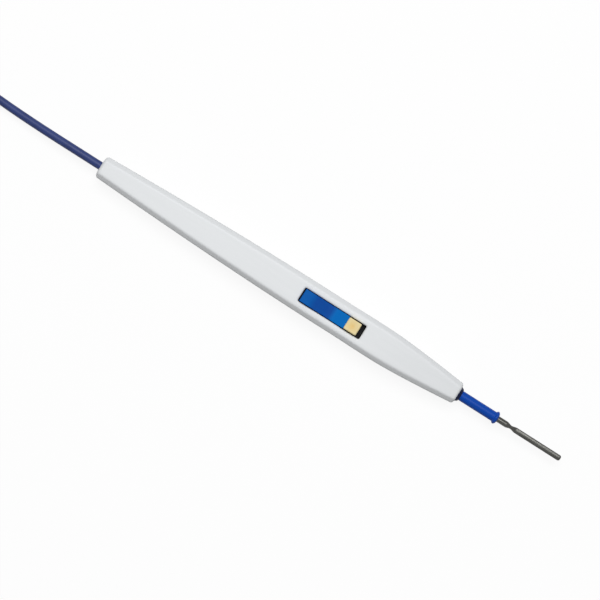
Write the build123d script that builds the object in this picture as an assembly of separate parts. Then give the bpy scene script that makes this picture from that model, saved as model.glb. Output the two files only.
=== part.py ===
"""Hand-switched electrosurgical pencil with its blade electrode and its cable.

The pencil lies belly down, switch up, with its electrode towards +X. Every piece is drawn in a
working frame whose X is the station, the distance ahead of the handle's rear face, and is moved
at the end so that X = 0 is the middle of the pencil's length. Z = 0 is the surface it lies on.
"""

from build123d import *
from math import atan2, pi, radians, tan
import os

# Handle, two moulded half shells. All dimensions are in mm
handle_length = 157.5
rear_width = 8.8
rear_height = 8.4
grip_width = 13.5
grip_height = 12.7
nose_width = 8.4
nose_height = 8.1
grip_length = 31.0
taper_length = 31.7
swell_power = 1.8
taper_power = 1.32
axis_height = 5.9
shell_wall = 1.5
rear_wall = 3.0
nose_wall = 8.0
shoulder_inset = 1.75
shoulder_drop = 2.0
crease_radius = 0.5
side_radius = 1.1
rear_bevel = 0.7
nose_bevel = 0.5
parting_groove = 0.2
rib_thickness = 1.0

# Locating pegs between the half shells
peg_radius = 0.6
peg_length = 1.6
peg_boss_radius = 1.1
peg_inset = 1.0
peg_end_distance = 34.0
peg_spacing = 28.0

# Switch slot
slot_to_nose = 42.2
slot_length = 26.9
slot_width = 5.8
slot_corner = 0.5
slot_bevel = 0.25

# Rocker, its trunnions and bearings
rocker_rear_gap = 0.6
rocker_front_gap = 1.9
rocker_side_gap = 0.3
rocker_pad_length = 3.5
rocker_crest_rise = 1.25
rocker_valley_drop = 0.35
rocker_edge_radius = 0.3
rocker_depth = 2.15
pivot_depth = 2.65
trunnion_radius = 0.8
trunnion_reach = 4.0
hub_radius = 1.0
nub_radius = 0.9
nub_inset = 4.0
bearing_half_length = 2.2
bearing_side_gap = 0.35
bearing_outer = 4.6
bearing_snap_width = 1.35

# Yellow cap on the rocker's front pad
cap_length = 5.3
cap_width = 4.9
cap_rise = 0.45
cap_wall = 0.8
cap_edge_radius = 0.6

# Switch board, snap domes and seal
board_rise = 0.3
board_thickness = 0.8
board_side_gap = 0.55
board_rear_reach = 6.2
board_front_reach = 4.4
dome_radius = 2.5
dome_rise = 0.45
dome_thickness = 0.12
seal_depth = 3.95
seal_thickness = 0.5
seal_overhang = 0.1
seal_reach = 2.4
seal_rim = 0.9
seal_bump_radius = 0.8
skirt_reach = 1.2
skirt_overlap = 0.3
skirt_thickness = 0.7

# Electrode: a round shank flattened to a blade, with a moulded sleeve
electrode_length = 70.0
metal_shown = 27.9
shank_radius = 1.18
blade_length = 19.6
blade_width = 2.2
blade_thickness = 0.5
blade_tip_radius = 0.75
neck_width = 1.35
neck_length = 4.4
sleeve_radius = 1.95
sleeve_shown = 16.3
sleeve_hex_flats = 3.4
sleeve_hex_length = 6.0
collar_radius = 2.5
collar_length = 1.5
collar_bevel = 0.5

# Nose bushing, contact socket and strip
lip_length = 1.3
lip_rear_radius = 3.2
lip_front_radius = 2.45
bushing_radius = 2.6
bushing_flange_radius = 3.0
bushing_flange_length = 1.2
socket_radius = 1.9
socket_end_wall = 1.0
shank_end_room = 1.7
strip_thickness = 0.3
strip_width = 2.5
strip_overlap = 1.5

# Cable, its clamp and its three wires
cord_radius = 1.6
clamp_length = 10.0
wire_radius = 0.45
wire_pitch = 1.0
wire_board_pitch = 2.4

# Hank: the turns lie side by side and in layers, a cable's width apart
turns_across = 4
hank_layers = 4
hank_run = 62.0
fold_radius = 9.8
hank_gap = 61.0
hank_side = -15.4
hank_edge_radius = 3.0
tie_thickness = 0.8
tie_width = 9.0

# Plug, its strain relief and its pins
plug_gap = 212.0
plug_side = -14.9
plug_width = 43.0
plug_length = 27.0
plug_thickness = 9.6
plug_shoulder_width = 20.0
plug_shoulder_length = 9.0
plug_corner_radius = 3.0
plug_edge_radius = 1.2
grip_groove_width = 1.2
grip_groove_depth = 0.5
grip_groove_pitch = 3.0
grip_groove_length = 24.0
grip_groove_count = 4
boot_length = 22.0
boot_body_radius = 4.2
boot_cable_radius = 2.3
boot_groove_depth = 0.6
boot_groove_width = 1.3
boot_groove_count = 4
pin_radius = 2.0
pin_length = 17.0
pin_tip_bevel = 0.8
pin_flange_radius = 2.6
pin_flange_length = 1.0
pin_root_radius = 1.4
pin_root_length = 6.0
pin_near_pitch = 12.7
pin_far_pitch = 22.2

# Fits, per side
sliding_fit = 0.1
shank_fit = 0.03
moulded_fit = 0.02
trunnion_fit = 0.05
seat_gap = 0.05
press_gap = 0.1
cord_fit = 0.15
cut_margin = 0.5

# Sizes and places that follow from the dimensions
taper_start = handle_length - taper_length
swell_end = taper_start - grip_length
front_peg_station = handle_length - peg_end_distance
peg_stations = (peg_end_distance, peg_end_distance + peg_spacing, front_peg_station)
lip_front = handle_length + lip_length
sleeve_front = lip_front + sleeve_shown
electrode_tip = sleeve_front + metal_shown
shank_rear = electrode_tip - electrode_length
neck_start = electrode_tip - blade_length - neck_length
bushing_seat = handle_length - nose_wall
bushing_rear = bushing_seat - bushing_flange_length
socket_rear = shank_rear - shank_end_room - socket_end_wall
socket_length = bushing_rear - socket_rear
hex_rear = bushing_seat + rib_thickness / 2
hex_front = hex_rear + sleeve_hex_length
housing_top = axis_height + grip_height / 2
slot_end = handle_length - slot_to_nose
slot_start = slot_end - slot_length
slot_middle = slot_start + slot_length / 2
rocker_length = slot_length - rocker_rear_gap - rocker_front_gap
rocker_width = slot_width - 2 * rocker_side_gap
rocker_rear = slot_start + rocker_rear_gap
rocker_front = rocker_rear + rocker_length
rocker_middle = rocker_rear + rocker_length / 2
nub_offset = rocker_length / 2 - nub_inset
cap_rear = rocker_front - cap_length
crest_height = housing_top + rocker_crest_rise
valley_height = housing_top - rocker_valley_drop
cap_height = crest_height + cap_rise
rocker_underside = housing_top - rocker_depth
pivot_height = housing_top - pivot_depth
seal_top = housing_top - seal_depth
board_height = axis_height + board_rise
board_top = board_height + board_thickness
board_rear = slot_start - board_rear_reach
board_front = slot_end + board_front_reach
board_length = board_front - board_rear
board_width = grip_width - 2 * shell_wall - 2 * board_side_gap
seal_width = board_width + 2 * seal_overhang
skirt_inner_width = seal_width - 2 * skirt_overlap
cavity_ceiling = housing_top - shell_wall
cable_inner_end = rear_wall + clamp_length
cord_diameter = 2 * cord_radius
fold_outer_radius = fold_radius + (turns_across - 1) * cord_diameter
hank_width = 2 * fold_outer_radius + cord_diameter
hank_length = hank_run + hank_width
hank_height = hank_layers * cord_diameter
plug_height = plug_thickness / 2
long_reach = 2 * handle_length

LOWEST = (Align.CENTER, Align.CENTER, Align.MIN)
HIGHEST = (Align.CENTER, Align.CENTER, Align.MAX)
AHEAD = (Align.MIN, Align.CENTER, Align.CENTER)


# Handle

def blend_at(x):
    """Share of the full grip section that the handle has at station x."""
    if x < swell_end:
        return 1 - (1 - x / swell_end) ** swell_power
    if x > taper_start:
        return 1 - ((x - taper_start) / (handle_length - taper_start)) ** taper_power
    return 1.0


def half_size_at(x):
    """Half width and half height of the handle at station x."""
    share = blend_at(x)
    end_width = rear_width if x < swell_end else nose_width
    end_height = rear_height if x < swell_end else nose_height
    half_width = (end_width + (grip_width - end_width) * share) / 2
    half_height = (end_height + (grip_height - end_height) * share) / 2
    return half_width, half_height


def handle_section(x, inset=0.0, rounded=True):
    """Eight-sided section of the handle at station x, drawn inset from the outer skin."""
    half_width, half_height = half_size_at(x)
    slope = atan2(shoulder_drop, shoulder_inset)
    crease = half_width - shoulder_inset - inset * tan(slope / 2)
    shoulder = half_height - shoulder_drop - inset * tan((pi / 2 - slope) / 2)
    side = half_width - inset
    top = half_height - inset
    right = [(crease, top), (side, shoulder), (side, -shoulder), (crease, -top)]
    left = [(-y, -z) for y, z in right]
    if rounded:
        radii = [crease_radius, side_radius, side_radius, crease_radius] * 2
        outline = FilletPolyline(*right, *left, radius=radii, close=True)
    else:
        outline = Polyline(*right, *left, close=True)
    across = Plane(origin=(x, 0, axis_height), x_dir=(0, 1, 0), z_dir=(1, 0, 0))
    return across * make_face(outline)


def handle_stations(first, last):
    """Stations of the sections between two ends, closer together where the outline bends."""
    swell = [swell_end * share for share in (0.12, 0.31, 0.54, 0.77, 1.0)]
    taper = [taper_start + (handle_length - taper_start) * s for s in (0, 0.26, 0.52, 0.77)]
    between = swell + [(swell_end + taper_start) / 2] + taper
    return [first] + [x for x in between if first + 2 < x < last - 2] + [last]


def handle_body(first, last, inset=0.0, rounded=True):
    """Solid between two stations, at a given inset from the outer skin."""
    return loft([handle_section(x, inset, rounded) for x in handle_stations(first, last)])


def handle_skin():
    """Outer form of the handle, with its bevelled ends and its flat belly."""
    near_rear, near_front = rear_bevel, handle_length - nose_bevel
    body = handle_body(near_rear, near_front)
    rear = loft([handle_section(0, rear_bevel), handle_section(near_rear)], ruled=True)
    ends = [handle_section(near_front), handle_section(handle_length, nose_bevel)]
    front = loft(ends, ruled=True)
    below = Box(long_reach, grip_width * 2, grip_height, align=HIGHEST)
    return body + rear + front - Pos(handle_length / 2, 0, 0) * below


def half_space(upper, height=axis_height):
    """Block above or below a height, wide enough to hold half of the handle."""
    block = Box(long_reach, grip_width * 2, grip_height * 2, align=LOWEST if upper else HIGHEST)
    return Pos(handle_length / 2, 0, height) * block


def bar(x_start, x_end, radius):
    """Round bar along the electrode's axis."""
    length = x_end - x_start
    return Pos(x_start, 0, axis_height) * Rot(0, 90, 0) * Cylinder(radius, length, align=LOWEST)


def rib_plates(stations, upper):
    """Cross ribs of one half shell at the given stations, their edges rooted in its wall."""
    root = shell_wall / 2
    plates = []
    for x in stations:
        section = handle_section(x - rib_thickness / 2, root, rounded=False)
        plates.append(extrude(section, rib_thickness) & half_space(upper))
    return plates


def peg_places():
    """Station and side of each locating peg."""
    places = []
    for x in peg_stations:
        side = half_size_at(x)[0] - shell_wall - peg_inset
        places += [(x, side), (x, -side)]
    return places


def post(x, y, low, high, radius):
    """Round post between two heights."""
    return Pos(x, y, low) * Cylinder(radius, high - low, align=LOWEST)


def cable_bore():
    """Hole in the rear wall that the cable leaves by."""
    return bar(-cut_margin, rear_wall + cut_margin, cord_radius + cord_fit)


def bushing_bore():
    """Hole in the nose that holds the bushing."""
    return bar(bushing_seat - cut_margin, handle_length + cut_margin, bushing_radius + seat_gap)


def socket_saddles(upper):
    """Two ribs that hold the contact socket between the half shells."""
    stations = (socket_rear + socket_length / 4, socket_rear + socket_length * 3 / 4)
    seat = bar(socket_rear - rib_thickness, bushing_rear + rib_thickness, socket_radius + seat_gap)
    return [plate - seat for plate in rib_plates(stations, upper)]


def slot_outline(margin=0.0):
    """Rounded rectangle of the switch slot."""
    return RectangleRounded(
        slot_length + 2 * margin, slot_width + 2 * margin, slot_corner + margin
    )


def switch_slot():
    """Cut for the slot, with a small bevel round its mouth."""
    through = extrude(slot_outline(), shell_wall + 2 * slot_bevel)
    low = Pos(0, 0, -slot_bevel) * slot_outline()
    high = Pos(0, 0, slot_bevel) * slot_outline(2 * slot_bevel)
    mouth = loft([low, high], ruled=True)
    through_low = cavity_ceiling - slot_bevel
    return (
        Pos(slot_middle, 0, through_low) * through
        + Pos(slot_middle, 0, housing_top) * mouth
    )


def switch_skirt():
    """Rim below the slot that presses the seal on the board."""
    low = seal_top + seat_gap
    height = cavity_ceiling + shell_wall / 3 - low
    inner_length = slot_length + 2 * skirt_reach
    outer = Box(
        inner_length + 2 * skirt_thickness,
        skirt_inner_width + 2 * skirt_thickness,
        height,
        align=LOWEST,
    )
    inner = Box(inner_length, skirt_inner_width, height, align=LOWEST)
    return Pos(slot_middle, 0, low) * (outer - inner)


def rocker_bearings():
    """Two blocks below the slot's sides with snap-in seats for the trunnions."""
    low = seal_top + seat_gap
    high = cavity_ceiling + shell_wall / 3
    near = rocker_width / 2 + bearing_side_gap
    seat_reach = trunnion_reach + press_gap * 2
    seat_radius = trunnion_radius + trunnion_fit
    seat = Rot(90, 0, 0) * Cylinder(seat_radius, 2 * seat_reach)
    snap = Box(bearing_snap_width, 2 * seat_reach, pivot_height, align=HIGHEST)
    blocks = []
    for side in (1, -1):
        block = Box(2 * bearing_half_length, bearing_outer - near, high - low, align=LOWEST)
        placed = Pos(rocker_middle, side * (bearing_outer + near) / 2, low) * block
        blocks.append(placed - Pos(rocker_middle, 0, pivot_height) * (seat + snap))
    return blocks


def parting_cut(skin):
    """Shallow groove round the handle where the half shells meet."""
    core = handle_body(-cut_margin, handle_length + cut_margin, parting_groove)
    slab = Box(long_reach, grip_width * 2, parting_groove, align=HIGHEST)
    return (skin & Pos(handle_length / 2, 0, axis_height) * slab) - core


def make_upper_shell(skin, cavity):
    """Upper half shell with the slot, the skirt, the bearings and the peg bosses."""
    shell = (skin - cavity) & half_space(upper=True)
    shell = shell + rocker_bearings() + switch_skirt() + socket_saddles(upper=True)
    for x, y in peg_places():
        ceiling = axis_height + half_size_at(x)[1] - shell_wall / 2
        shell += post(x, y, axis_height, ceiling, peg_boss_radius)
        bore_top = axis_height + peg_length + press_gap
        shell -= post(x, y, axis_height, bore_top, peg_radius + seat_gap)
    return shell - switch_slot() - cable_bore() - bushing_bore()


def board_rests():
    """Ribs of the lower shell that carry the switch board."""
    stations = (board_rear + 2 * rib_thickness, slot_middle, board_front - 2 * rib_thickness)
    rests = rib_plates(stations, upper=False)
    for x in stations:
        top = Box(rib_thickness, board_width - rib_thickness, board_height / 2, align=HIGHEST)
        rests.append(Pos(x, 0, board_height) * top)
    return rests


def make_lower_shell(skin, cavity):
    """Lower half shell with the board's rests, the socket's saddles and the pegs."""
    shell = (skin - cavity) & half_space(upper=False)
    shell = shell + board_rests() + socket_saddles(upper=False)
    for x, y in peg_places():
        floor = axis_height - half_size_at(x)[1] + shell_wall / 2
        shell += post(x, y, floor, axis_height, peg_boss_radius)
        shell += post(x, y, floor, axis_height + peg_length, peg_radius)
    return shell - parting_cut(skin) - cable_bore() - bushing_bore()


# Rocker

def side_prism(outline, width):
    """Solid with an outline drawn in the XZ plane, centred on the handle's middle plane."""
    return extrude(Plane.XZ * make_face(Polyline(*outline, close=True)), width / 2, both=True)


def cap_stub(fit=0.0):
    """Block at the rocker's front that the cap clips over."""
    length = cap_length - cap_wall + fit
    width = cap_width - 2 * cap_wall + 2 * fit
    height = cap_height - cap_wall + fit - rocker_underside
    block = Box(length, width, height, align=(Align.MIN, Align.CENTER, Align.MIN))
    return Pos(cap_rear, 0, rocker_underside) * block


def make_rocker():
    """Saddle-shaped switch lever with its hub, trunnions and two pressing nubs."""
    outline = [
        (rocker_rear, rocker_underside),
        (rocker_rear, crest_height),
        (rocker_rear + rocker_pad_length, crest_height),
        (rocker_middle, valley_height),
        (cap_rear, crest_height),
        (cap_rear, rocker_underside),
    ]
    lever = side_prism(outline, rocker_width)
    rounded = lever.edges().filter_by(Axis.Z).group_by(Axis.X)[0]
    rounded += lever.edges().filter_by(Axis.Y).group_by(Axis.X)[0].group_by(Axis.Z)[-1]
    lever = fillet(rounded, rocker_edge_radius) + cap_stub()
    pivot = Pos(rocker_middle, 0, pivot_height) * Rot(90, 0, 0)
    hub_block = Box(2 * hub_radius, rocker_width, rocker_underside - pivot_height, align=LOWEST)
    lever += Pos(rocker_middle, 0, pivot_height) * hub_block
    lever += pivot * Cylinder(hub_radius, rocker_width)
    lever += pivot * Cylinder(trunnion_radius, 2 * trunnion_reach)
    for side in (1, -1):
        x = rocker_middle + side * nub_offset
        lever += post(x, 0, seal_top + press_gap, rocker_underside, nub_radius)
    return lever


def make_rocker_cap():
    """Cap with a flat crowned top that clips over the rocker's front."""
    block = Box(
        cap_length,
        cap_width,
        cap_height - rocker_underside,
        align=(Align.MIN, Align.CENTER, Align.MIN),
    )
    block = fillet(block.edges().group_by(Axis.Z)[-1], cap_edge_radius)
    return Pos(cap_rear, 0, rocker_underside) * block - cap_stub(moulded_fit)


# Switch below the rocker

def make_switch_board():
    """Circuit board on the lower shell's rests."""
    board = Box(board_length, board_width, board_thickness, align=LOWEST)
    return Pos((board_rear + board_front) / 2, 0, board_height) * board


def make_dome(side):
    """Snap dome of spring metal, a thin shell that stands on its rim."""
    sphere_radius = (dome_radius**2 + dome_rise**2) / (2 * dome_rise)
    centre = dome_rise - sphere_radius
    ball = Pos(0, 0, centre) * Sphere(sphere_radius)
    hollow = Pos(0, 0, centre) * Sphere(sphere_radius - dome_thickness)
    above = Box(dome_radius * 4, dome_radius * 4, dome_rise * 2, align=LOWEST)
    return Pos(rocker_middle + side * nub_offset, 0, board_top) * ((ball - hollow) & above)


def make_switch_seal():
    """Silicone tray turned upside down over the domes, with a bump above each."""
    length = slot_length + 2 * seal_reach
    height = seal_top - board_top
    tray = Box(length, seal_width, height, align=LOWEST)
    room = Box(
        length - 2 * seal_rim, seal_width - 2 * seal_rim, height - seal_thickness, align=LOWEST
    )
    seal = Pos(slot_middle, 0, board_top) * (tray - room)
    for side in (1, -1):
        x = rocker_middle + side * nub_offset
        bump_low = board_top + dome_rise + press_gap
        seal += post(x, 0, bump_low, seal_top - seal_thickness / 2, seal_bump_radius)
    return seal


def make_socket_strip():
    """Brass strip from the board's front edge to the socket's rear face."""
    start = board_front - strip_overlap
    outline = [
        (start, board_top),
        (socket_rear - strip_thickness, board_top),
        (socket_rear - strip_thickness, axis_height - socket_radius / 2),
        (socket_rear, axis_height - socket_radius / 2),
        (socket_rear, board_top + strip_thickness),
        (start, board_top + strip_thickness),
    ]
    return side_prism(outline, strip_width)


# Nose and electrode

def turned(outline, centre_height=axis_height):
    """Solid turned about the X axis from points of station and radius."""
    face = make_face(Polyline(*outline, close=True))
    return Pos(0, 0, centre_height) * revolve(face, Axis.X)


def hex_bar(x_start, x_end, flats):
    """Hexagonal bar along the electrode's axis, measured across its flats."""
    section = RegularPolygon(flats / 2, 6, major_radius=False)
    across = Plane(origin=(x_start, 0, axis_height), x_dir=(0, 1, 0), z_dir=(1, 0, 0))
    return extrude(across * section, x_end - x_start)


def make_nose_bushing():
    """Black bushing: a flange inside the nose, a tube through it and a tapered lip ahead."""
    bore = sleeve_radius + sliding_fit
    outline = [
        (bushing_rear, 0),
        (bushing_rear, bushing_flange_radius),
        (bushing_seat, bushing_flange_radius),
        (bushing_seat, bushing_radius),
        (handle_length, bushing_radius),
        (handle_length, lip_rear_radius),
        (lip_front, lip_front_radius),
        (lip_front, 0),
    ]
    hex_room = hex_bar(bushing_rear, hex_front + sliding_fit, sleeve_hex_flats + 2 * sliding_fit)
    return turned(outline) - hex_room - bar(hex_front, lip_front, bore)


def make_electrode_socket():
    """Turned contact socket, closed at the rear."""
    bore = bar(socket_rear + socket_end_wall, bushing_rear, shank_radius + shank_fit)
    return bar(socket_rear, bushing_rear, socket_radius) - bore


def make_electrode_sleeve():
    """Moulded sleeve: hexagonal root, round body and bevelled collar."""
    outline = [
        (hex_front, 0),
        (hex_front, sleeve_radius),
        (sleeve_front - collar_length, sleeve_radius),
        (sleeve_front - collar_length + collar_bevel, collar_radius),
        (sleeve_front - collar_bevel, collar_radius),
        (sleeve_front, sleeve_radius + moulded_fit),
        (sleeve_front, 0),
    ]
    body = turned(outline) + hex_bar(hex_rear, hex_front, sleeve_hex_flats)
    return body - bar(hex_rear, sleeve_front, shank_radius + moulded_fit)


def make_electrode_blade():
    """Round shank, pinched at the neck and flattened to a blade with a rounded tip."""
    blade_start = neck_start + neck_length
    waist_start = neck_start + neck_length * 0.35
    waist_end = neck_start + neck_length * 0.6
    far_side = [
        (neck_start, shank_radius),
        (waist_start, neck_width / 2),
        (waist_end, neck_width / 2),
        (blade_start, blade_width / 2),
        (electrode_tip, blade_width / 2),
    ]
    near_side = [(x, -y) for x, y in reversed(far_side)]
    easy, tip = neck_length / 5, blade_tip_radius
    radii = [0, easy, easy, easy, tip, tip, easy, easy, easy, 0]
    plan = make_face(FilletPolyline(*far_side, *near_side, radius=radii, close=True))
    flat = extrude(Pos(0, 0, axis_height) * plan, shank_radius, both=True)
    above = [
        (neck_start, axis_height + shank_radius),
        (blade_start, axis_height + blade_thickness / 2),
        (electrode_tip, axis_height + blade_thickness / 2),
    ]
    below = [(x, 2 * axis_height - z) for x, z in reversed(above)]
    flat &= side_prism(above + below, 2 * blade_width)
    round_part = bar(neck_start, waist_end, shank_radius)
    behind = Box(waist_end - neck_start, 2 * blade_width, 2 * blade_width, align=AHEAD)
    pinched = (flat & round_part) + (flat - Pos(neck_start, 0, axis_height) * behind)
    return bar(shank_rear, neck_start, shank_radius) + pinched


# Cable inside the handle

def make_cord_clamp():
    """Block that grips the cable's end between the half shells, against the rear wall."""
    section = handle_section(rear_wall, shell_wall + press_gap, rounded=False)
    return extrude(section, clamp_length) - bar(0, cable_inner_end, cord_radius + moulded_fit)


def route_radii(points):
    """Largest arc for each corner of a route: it uses 0.45 of the shorter run beside it."""
    radii = []
    for before, corner, after in zip(points, points[1:], points[2:]):
        run_in = Vector(corner) - Vector(before)
        run_out = Vector(after) - Vector(corner)
        half_turn = radians(run_in.get_angle(run_out)) / 2
        radii.append(0.45 * min(run_in.length, run_out.length) / tan(half_turn))
    return radii


def tube(name, points, radius):
    """Round tube along straight runs joined by tangent arcs."""
    radii = route_radii(points)
    path = FilletPolyline(*points, radius=radii)
    start = Plane(origin=points[0], z_dir=Vector(points[1]) - Vector(points[0]))
    solid = sweep(start * Circle(radius), path=path)
    expected = pi * radius**2 * path.length
    print(name, "length", round(path.length, 1), "volume share", round(solid.volume / expected, 4))
    print(name, "bend radii", [round(r, 1) for r in radii])
    return solid


def make_wire(name, side):
    """One insulated wire from the cable's end to the board's rear edge."""
    start, end = side * wire_pitch, side * wire_board_pitch
    board_middle = board_height + board_thickness / 2
    free = board_rear - cable_inner_end
    points = [
        (cable_inner_end, start, axis_height),
        (cable_inner_end + free * 0.3, start + side * 0.1, axis_height - 0.6),
        (cable_inner_end + free * 0.68, end - side * 0.15, board_middle - 0.4),
        (board_rear, end, board_middle),
    ]
    return tube(name, points, wire_radius)


# Cable outside the handle: the first point is where its jacket ends inside the clamp

LEAD_POINTS = [
    (cable_inner_end, 0, axis_height),
    (-9, 0, axis_height),
    (-31, 0, 4.1),
    (-53, 0.8, 2.6),
    (-74, 3.8, 2.4),
]
TAIL_POINTS = [
    (-147, 4.0, 12.0),
    (-159, 3.8, 11.8),
    (-172.5, -0.6, 9.8),
    (-186, -9.0, 6.6),
    (-199.5, plug_side, plug_height),
    (-plug_gap, plug_side, plug_height),
]


def make_cord_hank():
    """Closed outer form of the folded cable, rounded at its ends and along its edges."""
    block = extrude(SlotOverall(hank_length, hank_width), hank_height)
    block = fillet(block.faces().filter_by(Plane.XY).edges(), hank_edge_radius)
    return Pos(-hank_gap - hank_length / 2, hank_side, tie_thickness) * block


def make_cord_tie():
    """Band round the middle of the hank."""
    outer = RectangleRounded(
        hank_width + 2 * tie_thickness,
        hank_height + 2 * tie_thickness,
        hank_edge_radius + tie_thickness,
    )
    inner = RectangleRounded(hank_width, hank_height, hank_edge_radius)
    middle = (-hank_gap - hank_length / 2 - tie_width / 2, hank_side, tie_thickness + hank_height / 2)
    across = Plane(origin=middle, x_dir=(0, 1, 0), z_dir=(1, 0, 0))
    return extrude(across * (outer - inner), tie_width)


# Plug

def pin_sides():
    """Side offset of each pin, by name, about the plug's middle."""
    first = -(pin_near_pitch + pin_far_pitch) / 2
    return {
        "plug_pin_cut": first,
        "plug_pin_coag": first + pin_near_pitch,
        "plug_pin_active": first + pin_near_pitch + pin_far_pitch,
    }


plug_rear = -plug_gap - boot_length
plug_front = plug_rear - plug_length


def make_plug_pin(side):
    """Turned pin with a flange on the plug's face and a root moulded into it."""
    shank_start = plug_front - pin_flange_length
    pin_end = plug_front - pin_length
    outline = [
        (plug_front + pin_root_length, 0),
        (plug_front + pin_root_length, pin_root_radius),
        (plug_front, pin_root_radius),
        (plug_front, pin_flange_radius),
        (shank_start, pin_flange_radius),
        (shank_start, pin_radius),
        (pin_end + pin_tip_bevel, pin_radius),
        (pin_end, pin_radius - pin_tip_bevel),
        (pin_end, 0),
    ]
    return Pos(0, plug_side + side, 0) * turned(outline, plug_height)


def grip_grooves():
    """Finger grooves across the plug's two flat sides."""
    middle = plug_front + (plug_length - plug_shoulder_length) / 2
    first = middle - grip_groove_pitch * (grip_groove_count - 1) / 2
    groove = Box(grip_groove_width, grip_groove_length, 2 * grip_groove_depth)
    cuts = []
    for number in range(grip_groove_count):
        x = first + number * grip_groove_pitch
        cuts += [Pos(x, plug_side, height) * groove for height in (0, plug_thickness)]
    return cuts


def make_plug_body():
    """Flat moulded plug, narrower at the cable, with grip grooves."""
    waist = plug_rear - plug_shoulder_length
    right = [
        (plug_rear, plug_shoulder_width / 2),
        (waist, plug_width / 2),
        (plug_front, plug_width / 2),
    ]
    left = [(x, -y) for x, y in reversed(right)]
    outline = FilletPolyline(*right, *left, radius=plug_corner_radius, close=True)
    block = extrude(Pos(0, plug_side, 0) * make_face(outline), plug_thickness)
    block = fillet(block.faces().filter_by(Plane.XY).edges(), plug_edge_radius)
    for side in pin_sides().values():
        bore_length = pin_root_length + seat_gap
        bore = Rot(0, 90, 0) * Cylinder(pin_root_radius + moulded_fit, bore_length, align=LOWEST)
        block -= Pos(plug_front, plug_side + side, plug_height) * bore
    return block - grip_grooves()


def make_plug_boot():
    """Tapered strain relief with ring grooves, between the cable and the plug."""
    outline = [(-plug_gap, 0), (-plug_gap, boot_cable_radius)]
    pitch = boot_length / (boot_groove_count + 1)
    for number in range(1, boot_groove_count + 1):
        share = number / (boot_groove_count + 1)
        radius = boot_cable_radius + (boot_body_radius - boot_cable_radius) * share
        x = -plug_gap - number * pitch
        near, far = x + boot_groove_width / 2, x - boot_groove_width / 2
        outline += [(near, radius), (near, radius - boot_groove_depth)]
        outline += [(far, radius - boot_groove_depth), (far, radius)]
    outline += [(plug_rear, boot_body_radius), (plug_rear, 0)]
    return Pos(0, plug_side, 0) * turned(outline, plug_height)


# All pieces, each moved so that the middle of the pencil's length is at X = 0

skin = handle_skin()
cavity = handle_body(rear_wall, bushing_seat, shell_wall, rounded=False)
pieces = {
    "upper_shell": make_upper_shell(skin, cavity),
    "lower_shell": make_lower_shell(skin, cavity),
    "rocker": make_rocker(),
    "rocker_cap": make_rocker_cap(),
    "switch_board": make_switch_board(),
    "cut_dome": make_dome(side=1),
    "coag_dome": make_dome(side=-1),
    "switch_seal": make_switch_seal(),
    "socket_strip": make_socket_strip(),
    "nose_bushing": make_nose_bushing(),
    "electrode_socket": make_electrode_socket(),
    "electrode_sleeve": make_electrode_sleeve(),
    "electrode_blade": make_electrode_blade(),
    "cord_clamp": make_cord_clamp(),
    "wire_cut": make_wire("wire_cut", side=-1),
    "wire_active": make_wire("wire_active", side=0),
    "wire_coag": make_wire("wire_coag", side=1),
    "cord_lead": tube("cord_lead", LEAD_POINTS, cord_radius),
    "cord_hank": make_cord_hank(),
    "cord_tie": make_cord_tie(),
    "cord_tail": tube("cord_tail", TAIL_POINTS, cord_radius),
    "plug_body": make_plug_body(),
    "plug_boot": make_plug_boot(),
}
for pin_name, pin_side in pin_sides().items():
    pieces[pin_name] = make_plug_pin(pin_side)

os.makedirs("parts", exist_ok=True)
for node, piece in pieces.items():
    export_step(Pos(-electrode_tip / 2, 0, 0) * piece, f"parts/{node}.step")
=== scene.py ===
from math import atan2, cos, pi, radians, sin

import bmesh
import bpy
from mathutils import Matrix, Vector


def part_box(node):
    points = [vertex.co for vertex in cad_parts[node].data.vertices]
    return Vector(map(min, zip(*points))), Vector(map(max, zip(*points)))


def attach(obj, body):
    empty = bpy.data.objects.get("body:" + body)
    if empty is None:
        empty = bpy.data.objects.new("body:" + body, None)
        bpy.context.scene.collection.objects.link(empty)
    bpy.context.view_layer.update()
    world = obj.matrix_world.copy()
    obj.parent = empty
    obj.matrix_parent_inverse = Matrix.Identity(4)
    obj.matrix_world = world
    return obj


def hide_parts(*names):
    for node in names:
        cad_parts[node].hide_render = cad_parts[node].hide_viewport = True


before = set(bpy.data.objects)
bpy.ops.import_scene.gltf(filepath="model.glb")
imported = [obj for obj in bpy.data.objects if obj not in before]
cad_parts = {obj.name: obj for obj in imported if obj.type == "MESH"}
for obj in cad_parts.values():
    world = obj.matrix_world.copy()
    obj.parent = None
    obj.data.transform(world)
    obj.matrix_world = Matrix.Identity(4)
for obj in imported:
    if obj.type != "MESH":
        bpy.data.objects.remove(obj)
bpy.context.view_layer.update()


# Camera: it looks straight down on the pencil and is turned, so that the handle lies from the
# upper left to the lower right. The picture's side covers view_width at the parting line's height.
view_width = 0.2241
view_centre = (-0.01235, -0.0022)
parting_height = 0.0059
pencil_turn = radians(32.5)
lens_length = 96.0
sensor_width = 36.0

camera_data = bpy.data.cameras.new("camera")
camera_data.lens = lens_length
camera_data.sensor_width = sensor_width
camera = bpy.data.objects.new("camera", camera_data)
bpy.context.scene.collection.objects.link(camera)
camera.location = (*view_centre, parting_height + view_width * lens_length / sensor_width)
camera.rotation_euler = (0, 0, pencil_turn)
bpy.context.scene.camera = camera
bpy.context.scene.view_settings.view_transform = "Standard"


# Floor and surroundings: a plain pale table in a plain room. What looks straight at them, or in
# a reflection, sees white, and the table keeps a pencil's faint shadow.
floor_side = 6.0
floor_colour = "#C4C4C4"
floor_glow = 0.9
shadow_share = 0.1
room_strength = 0.17


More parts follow.
